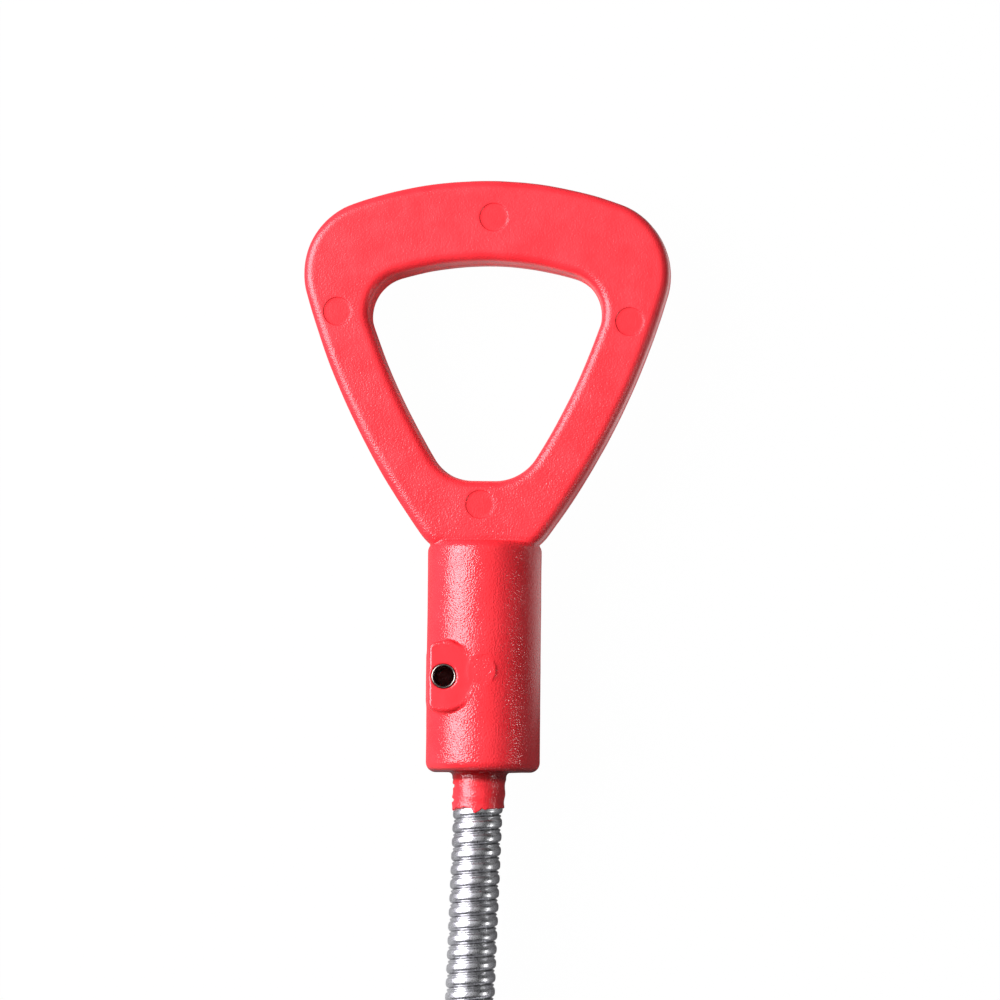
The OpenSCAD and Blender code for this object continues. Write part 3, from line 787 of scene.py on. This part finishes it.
def moulding(x, y, z):
    """Distance from the handle's surface, below zero inside. z counts from the parting line."""
    up = np.abs(z)
    loop = np.maximum(plan_distance(x, y, loop_outline()), -plan_distance(x, y, hole_outline()))
    shape = both(loop + up * math.tan(DRAFT), up - LOOP_T / 2, EDGE_R)
    out = np.hypot(x, z)
    half = SOCKET_L / 2
    socket = both(out - SOCKET_R, np.abs(y - MOUTH_Y - half) - half, SOCKET_EDGE_R)
    shape = either(shape, socket, SHOULDER_FILLET)

    beside = np.hypot(x + PIN_OFFSET, y - PIN_Y)
    lug = np.hypot(x + PIN_OFFSET - LUG_AT[0], y - PIN_Y - LUG_AT[1]) - LUG_R
    rim = either(beside - BOSS_D / 2, lug, LUG_FILLET)
    wall = -x - SOCKET_R - BOSS_PROUD + z * math.tan(BOSS_DRAFT)
    boss = both(both(rim, wall, BOSS_CORNER_R), z - BOSS_H, BOSS_EDGE_R)
    shape = either(shape, np.maximum(boss, -z), BOSS_FILLET)

    flat = np.hypot(x - FLAT_AT[0], y - MOUTH_Y - FLAT_AT[1]) - FLAT_D / 2
    shape = either(shape, np.maximum(flat, np.abs(z - FLAT_H / 2) - FLAT_H / 2), FLAT_FILLET)
    shape = np.maximum(shape, -np.maximum(flat, FLAT_H - z))

    gate = np.maximum(np.abs(x) - GATE_W / 2, np.abs(z) - GATE_T / 2)
    gate = np.maximum(gate, np.abs(y - LOOP_TOP_Y) - GATE_H)
    shape = either(shape, gate, GATE_FILLET)

    along = -x * math.sin(LEAN) - (y - PIN_Y) * math.cos(LEAN)
    off = x * math.cos(LEAN) - (y - PIN_Y) * math.sin(LEAN)
    collar = np.maximum(np.hypot(off, z) - SKIRT_R, np.abs(along - PIN_H) - COLLAR_L / 2)
    shape = either(shape, collar, COLLAR_FILLET)
    hole = np.maximum(beside - PIN_D / 2, BOSS_H + PIN_PROUD - PIN_L - PIN_HOLE_MORE - z)
    return both(shape, -hole, PIN_HOLE_EDGE_R)


def cut_from(grid, start, shape):
    """The block of a grid that begins at start and has that shape."""
    return grid[tuple(slice(s, s + n) for s, n in zip(start, shape))]


def surface_net(field, low, step):
    """The zero surface of a grid of distances: a point in each cell it passes, and quads."""
    near = field < 0
    shape = np.array(field.shape) - 1
    corners = [np.array(c) for c in np.ndindex(2, 2, 2)]
    count = sum(cut_from(near, c, shape).astype(np.int8) for c in corners)
    cells = np.argwhere((count > 0) & (count < 8))
    number = np.full(shape, -1)
    number[tuple(cells.T)] = np.arange(len(cells))
    total, crossings = np.zeros((len(cells), 3)), np.zeros((len(cells), 1))
    for c in corners:
        for axis in range(3):
            if c[axis]:
                continue
            step_way = np.eye(3, dtype=int)[axis]
            f0 = field[tuple((cells + c).T)]
            f1 = field[tuple((cells + c + step_way).T)]
            cut = (f0 < 0) != (f1 < 0)
            t = np.where(cut, f0 / np.where(cut, f0 - f1, 1), 0)
            total += np.where(cut, 1, 0)[:, None] * (c + t[:, None] * step_way)
            crossings[:, 0] += cut
    points = low + step * (cells + total / crossings)
    quads = []
    for axis in range(3):
        u, v = np.eye(3, dtype=int)[(axis + 1) % 3], np.eye(3, dtype=int)[(axis + 2) % 3]
        step_way = np.eye(3, dtype=int)[axis]
        first = cut_from(near, 0 * u, np.array(near.shape) - step_way)
        second = cut_from(near, step_way, np.array(near.shape) - step_way)
        for at, flip in ((first & ~second, False), (~first & second, True)):
            e = np.argwhere(at)
            ring = [number[tuple((e - a).T)] for a in (0 * u, u, u + v, v)]
            quads.append(np.stack(ring[::-1] if flip else ring, -1))
    return points, np.concatenate(quads)


def sampled(field, low, step, points):
    """The field's values at points between the grid's, and its slope there."""
    at = (points - low) / step
    cell = np.floor(at).astype(int)
    t = at - cell
    value, slope = np.zeros(len(points)), np.zeros((len(points), 3))
    for c in np.ndindex(2, 2, 2):
        f = field[tuple((cell + c).T)]
        part = [t[:, k] if c[k] else 1 - t[:, k] for k in range(3)]
        value += f * part[0] * part[1] * part[2]
        for k in range(3):
            others = part[(k + 1) % 3] * part[(k + 2) % 3]
            slope[:, k] += f * others * (1 if c[k] else -1) / step
    return value, slope


def drawn_in(points, quads, share):
    """The points drawn towards the middle of their neighbours."""
    edges = np.concatenate([quads[:, [k, (k + 1) % 4]] for k in range(4)])
    count = np.bincount(edges.ravel(), minlength=len(points))[:, None]
    total = np.stack([
        np.bincount(edges[:, 0], points[edges[:, 1], k], len(points))
        + np.bincount(edges[:, 1], points[edges[:, 0], k], len(points)) for k in range(3)
    ], -1)
    return points + share * (total / count - points)


# Two dents where ribs show through the skin on the left. The turns are in degrees
DENTS_AT, DENT_DEPTH, DENT_HALF, DENT_TURN, DENT_HALF_TURN = (2.45, 4.73), 0.34, 0.3, 92, 27
# How much of the ribs and of a slow wave shows in the skin, and how far its lip turns in and down
SKIN_RIB, SKIN_WAVE, LIP_IN, LIP_DOWN, SKIRT_IN_R = 0.035, 0.05, 0.22, 0.2, 3.2


def skirt_edge(turn):
    """How far the torn skin reaches down from the mouth at an angle from the front, leftwards."""
    places = [
        (-180, 5.9), (-130, 5.4), (-72, 5.5), (-40, 5.75), (-12, 5.9),
        (-6, 6.3), (3, 6.48), (8, 6.3), (14, 5.75), (40, 5.7),
        (62, 5.9), (80, 6.15), (100, 6.3), (140, 6.1), (180, 5.9),
    ]
    angle, reach = zip(*places)
    wobble = 0.06 * np.sin(11 * turn) + 0.05 * np.sin(17 * turn + 1.3) + 0.03 * np.sin(31 * turn)
    return np.interp((np.degrees(turn) + 180) % 360 - 180, angle, reach) + wobble


def skirt():
    """The thin skin of plastic over the casing's first ribs, with a lip turned in at its edge."""
    steps, rings, lip = 192, 84, 6
    turn = np.linspace(0, 2 * math.pi, steps, endpoint=False)
    edge = skirt_edge(turn)
    t = np.linspace(0, 1, rings)[:, None]
    down = -1 + t * (edge + 1)
    left = np.exp(-(((np.degrees(turn) - DENT_TURN) / DENT_HALF_TURN) ** 4))
    dents = sum(np.exp(-np.abs((down - h) / DENT_HALF) ** 3) for h in DENTS_AT) * left
    ribs = np.cos(2 * math.pi * (down - DENTS_AT[0]) / RIB_PITCH - (turn - math.pi / 2))
    r = SKIRT_R - DENT_DEPTH * dents + SKIN_RIB * ribs * smoothstep(down)
    r += SKIN_WAVE * np.sin(3 * turn + 2 * down) * smoothstep(down - 1)
    bend = np.radians(np.linspace(15, 90, lip))[:, None]
    lip_r, lip_down = r[-1] - LIP_IN * (1 - np.cos(bend)), edge + LIP_DOWN * np.sin(bend)
    inside = np.full((1, steps), SKIRT_IN_R)
    r = np.concatenate([r, lip_r, inside])
    down = np.concatenate([down, lip_down, lip_down[-1:] - 0.1])
    points = np.stack([r * np.cos(turn), r * np.sin(turn), down + PIN_H], -1).reshape(-1, 3)
    return moved(points, basis(CASING_PIVOT, CASING_WAY)), ring_faces(len(r), steps)


GRID, MARGIN, SETTLE_ROUNDS = 0.25, 1.2, 3
FLASH_H, FLASH_HALF = 0.11, 0.12  # the ridge along the parting line
WAVE_H, WAVE_L, RIPPLE_L, RIPPLE_SHARE = 0.045, 6.5, 2.6, 0.4  # how uneven the walls are
MARK_DIP, MARK_EDGE, MARK_BLEND, MARKS_ABOVE = 0.6 * MARK_DEPTH, 0.15, 0.4, 4


def add_handle():
    """The moulding, netted from its distance field, then given its parting line and sinks."""
    low = handle_low - MARGIN
    low[2] = AXIS_Z - GRID * (math.floor((AXIS_Z - low[2]) / GRID) + 0.5)
    counts = np.ceil((handle_high + MARGIN - low) / GRID)
    sides = [start + GRID * np.arange(count) for start, count in zip(low, counts)]
    x, y, z = np.meshgrid(*sides, indexing="ij", sparse=True)
    field = moulding(x, y, z - AXIS_Z).astype(np.float32)
    points, quads = surface_net(field, low, GRID)
    for _ in range(SETTLE_ROUNDS):
        points = drawn_in(points, quads, 0.5)
        for _ in range(2):
            value, slope = sampled(field, low, GRID, points)
            length = np.linalg.norm(slope, axis=1).clip(0.3)
            points = points - (value / length ** 2)[:, None] * slope
    normal = unit(sampled(field, low, GRID, points)[1])
    wall = smoothstep((0.75 - np.abs(normal[:, 2])) / 0.3)
    outside = np.hypot(points[:, 0] + PIN_OFFSET, points[:, 1] - PIN_Y) > PIN_D / 2 + 0.2
    flash = np.exp(-((points[:, 2] - AXIS_Z) / FLASH_HALF) ** 2) * wall * outside
    wave = np.array([
        noise.noise(Vector(p) / WAVE_L) + RIPPLE_SHARE * noise.noise(Vector(p) / RIPPLE_L)
        for p in points
    ])
    points = points + normal * (FLASH_H * flash + WAVE_H * wave * outside)[:, None]
    for place in mark_places():
        off = np.hypot(points[:, 0] - place[0], points[:, 1] - place[1])
        dip = smoothstep((MARK_D / 2 + MARK_EDGE - off) / MARK_BLEND)
        points[:, 2] -= MARK_DIP * dip * (points[:, 2] > AXIS_Z + MARKS_ABOVE)
    points, faces = joined((points, quads.tolist()), skirt())
    return mesh_piece("handle_moulding", points, faces, RED, ("handle",))


add_handle()

# ---------------------------------------------------------------- the small pieces


def add_pin():
    """The hollow pin in the boss, with a rolled rim."""
    clear, bevel, bevel_l = 0.02, 0.04, 0.5
    r, bore_r, roll = PIN_D / 2 - clear, PIN_D / 2 - PIN_WALL + bevel, PIN_WALL / 2
    profile = [(r, 0), (r, PIN_L - roll)] + list(arc((r - roll, PIN_L - roll), roll, 0, 180, 12))
    profile += [(bore_r, PIN_L - roll - bevel_l), (bore_r, 0)]
    points, faces = revolved(profile, 64, closed=True)
    place = basis((-PIN_OFFSET, PIN_Y, PIN_TOP_Z - PIN_L), FRONT, UP)
    mesh_piece("hollow_pin", moved(points, place), faces, PIN_STEEL,
               ("retaining_pin",))


TIP_FRAME = basis(TIP, TIP_WAY)


def add_ferrule():
    """The turned ferrule, crimped in two bands by a tool with eight jaws."""
    bevel, corner, lip_r, end_r = 0.8, 0.35, 0.4, 0.5
    crimp, crimp_half, jaw_ridge, bands = 0.5, 0.55, 0.18, (2.5, 5.5)
    bore, stem_bore = CASING_R - GROOVE_DEPTH, STEM_R - 0.3
    outline = list(arc((FERRULE_R - bevel + lip_r, lip_r), lip_r, -90, -45, 4))
    outline += list(arc((FERRULE_R - corner, bevel + 0.1), corner, -45, 0, 4))
    outline += [(FERRULE_R, h) for h in np.arange(1.3, 7.0, 0.12)]
    outline += [(FERRULE_R, FERRULE_L - 2 * bevel - 0.2)]
    outline += list(arc((FERRULE_R - corner, FERRULE_L - 2 * bevel - 0.1), corner, 0, 45, 4))
    outline += list(arc((FERRULE_R - 2 * bevel - 0.2, FERRULE_L - end_r), end_r, 45, 90, 4))
    outline += [(stem_bore, FERRULE_L), (stem_bore, FERRULE_GRIP), (bore, FERRULE_GRIP - 0.5)]
    outline += [(bore, 0.5), (CASING_R, 0)]
    points, faces = revolved(outline, 96, closed=True)
    turn = np.arctan2(points[:, 1], points[:, 0])
    dent = sum(np.exp(-((points[:, 2] - h) / crimp_half) ** 4) for h in bands)
    dent = dent * (np.hypot(points[:, 0], points[:, 1]) > FERRULE_R - 0.1)
    shrink = 1 - dent * (crimp - jaw_ridge * np.abs(np.sin(4 * turn)) ** 6) / FERRULE_R
    points[:, :2] *= shrink[:, None]
    mesh_piece("crimped_ferrule", moved(points, TIP_FRAME), faces, FERRULE_STEEL,
               ("tip_ferrule",))


def add_cross_pin():
    """The cross pin through the ferrule, with domed ends."""
    half, dome_r, tip_r = FERRULE_R + 0.1, 0.35, 0.15
    ends = arc((CROSS_PIN_R - dome_r, half - dome_r), dome_r, 0, 75, 5)
    profile = [(r, -h) for r, h in ends[::-1]] + list(ends)
    profile = [(tip_r, -half)] + profile + [(tip_r, half)]
    points, faces = revolved(profile, 32)
    place = TIP_FRAME @ basis((0, 0, (FERRULE_GRIP + FERRULE_L) / 2), (0, 1, 0))
    mesh_piece("cross_pin", moved(points, place), faces, DARK_STEEL,
               ("tip_cross_pin",))


def add_head():
    """The auger head: spring wire wound into an open bulb, on a turned stem."""
    steps_a_turn, start_r, draw, fullness = 44, 1.2, 0.93, 0.8
    t = np.linspace(0, 1, round(BULB_TURNS * steps_a_turn) + 1)
    r = start_r + (BULB_R - WIRE_R - start_r) * np.sin(math.pi * draw * t) ** fullness
    a = 2 * math.pi * BULB_TURNS * t
    wire = np.stack([r * np.cos(a), r * np.sin(a), FERRULE_L + 0.5 + BULB_L * t], -1)
    edge_r, edge_h, middle = 0.4, FERRULE_L + 2.1, 0.1
    stem = [(middle, FERRULE_GRIP), (STEM_R, FERRULE_GRIP), (STEM_R, edge_h)]
    stem += list(arc((STEM_R - edge_r, edge_h), edge_r, 0, 90, 6)) + [(middle, FERRULE_L + 2.5)]
    points, faces = joined(round_wire(wire, WIRE_R, 18), revolved(stem, 48))
    mesh_piece("wire_head", moved(points, TIP_FRAME), faces, SPRING_STEEL,
               ("auger_head",))


def hull_round(centres, r, steps, longest=0.5):
    """Points of a band drawn tight round equal circles, none further apart than the longest."""
    turn = np.linspace(0, 2 * math.pi, steps, endpoint=False)
    ways = np.stack([np.cos(turn), np.sin(turn)], -1)
    far = np.argmax(ways @ np.array(centres).T, axis=1)
    points = np.array(centres)[far] + r * ways
    gaps = np.linalg.norm(np.roll(points, -1, 0) - points, axis=1)
    out = []
    for p, q, gap in zip(points, np.roll(points, -1, 0), gaps):
        n = max(1, int(gap / longest))
        out += [p + (q - p) * k / n for k in range(n)]
    return np.array(out)


def strap(centres, r):
    """A closed nylon band, thin and flat with round edges, about some turns of the casing."""
    path = hull_round(centres, r + TIE_T / 2, 72)
    ahead = unit(np.roll(path, -1, 0) - np.roll(path, 1, 0))
    out = np.stack([ahead[:, 1], -ahead[:, 0]], -1)
    half_w, half_t, edge = TIE_W / 2, TIE_T / 2 - 0.05, 0.3
    section = []
    for cx, cz, a in ((half_t - edge, half_w - edge, 0), (edge - half_t, half_w - edge, 90),
                      (edge - half_t, edge - half_w, 180), (half_t - edge, edge - half_w, 270)):
        section += list(arc((cx, cz), edge, a, a + 90, 4))
    points = [[(p[0] + o[0] * s[0], s[1], p[1] + o[1] * s[0]) for s in section]
              for p, o in zip(path, out)]
    points = np.array(points).reshape(-1, 3)
    return points, ring_faces(len(path), len(section), closed=True)


TIE_SLOT, TIE_TAIL = (1.6, TIE_W - 0.8, 0.6), (TIE_T, TIE_W - 0.6, 3.4)


def add_tie(number, angle, turns):
    """A releasable tie: its band, its head on the coil's inner side and its tail's cut end."""
    w, h, d = TIE_HEAD
    x = COIL_R - 2 * CASING_R - TIE_GAP - TIE_T - w / 2 + 0.4
    head, head_faces = round_box((w, d, h), 0.7)
    slot, slot_faces = round_box(TIE_SLOT, 0.2)
    tail, tail_faces = round_box(TIE_TAIL, 0.25)
    parts = [
        strap(turns, CASING_R + TIE_GAP),
        (head + (x, 0, COIL_Z), head_faces),
        (slot + (x - 0.6, 0, COIL_Z + h / 2), slot_faces),
        (tail + (x + 0.9, 0, COIL_Z + h / 2 + 1.0), tail_faces),
    ]
    points, faces = joined(*parts)
    turn = Matrix.Rotation(math.radians(angle), 4, "Z")
    place = np.array(Matrix.Translation((*COIL_C, 0)) @ turn)
    mesh_piece(f"nylon_tie_{number}", moved(points, place), faces, NYLON,
               (f"coil_tie_{number}",))


add_pin()
add_ferrule()
add_cross_pin()
add_head()
low_turns = [(COIL_R + CASING_R, COIL_Z), (COIL_R - CASING_R, COIL_Z)]
nested_turn = [(COIL_R, NESTED_Z)]
high_turns = [(r, HIGH_Z) for r, _ in low_turns]
ties = [(215, nested_turn), (300, nested_turn), (10, nested_turn), (90, high_turns)]
for number, (angle, upper) in enumerate(ties, 1):
    add_tie(number, angle, low_turns + upper)

for node, material in (("anchor_sleeve", DARK_STEEL), ("core_stop", DARK_STEEL),
                       ("core_cable", SPRING_STEEL)):
    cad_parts[node].data.materials.clear()
    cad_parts[node].data.materials.append(material)

# ---------------------------------------------------------------- the pieces on the casing, and the end

on_casing = ["crimped_ferrule", "cross_pin", "wire_head"]
on_casing += [f"nylon_tie_{number}" for number in range(1, len(ties) + 1)]
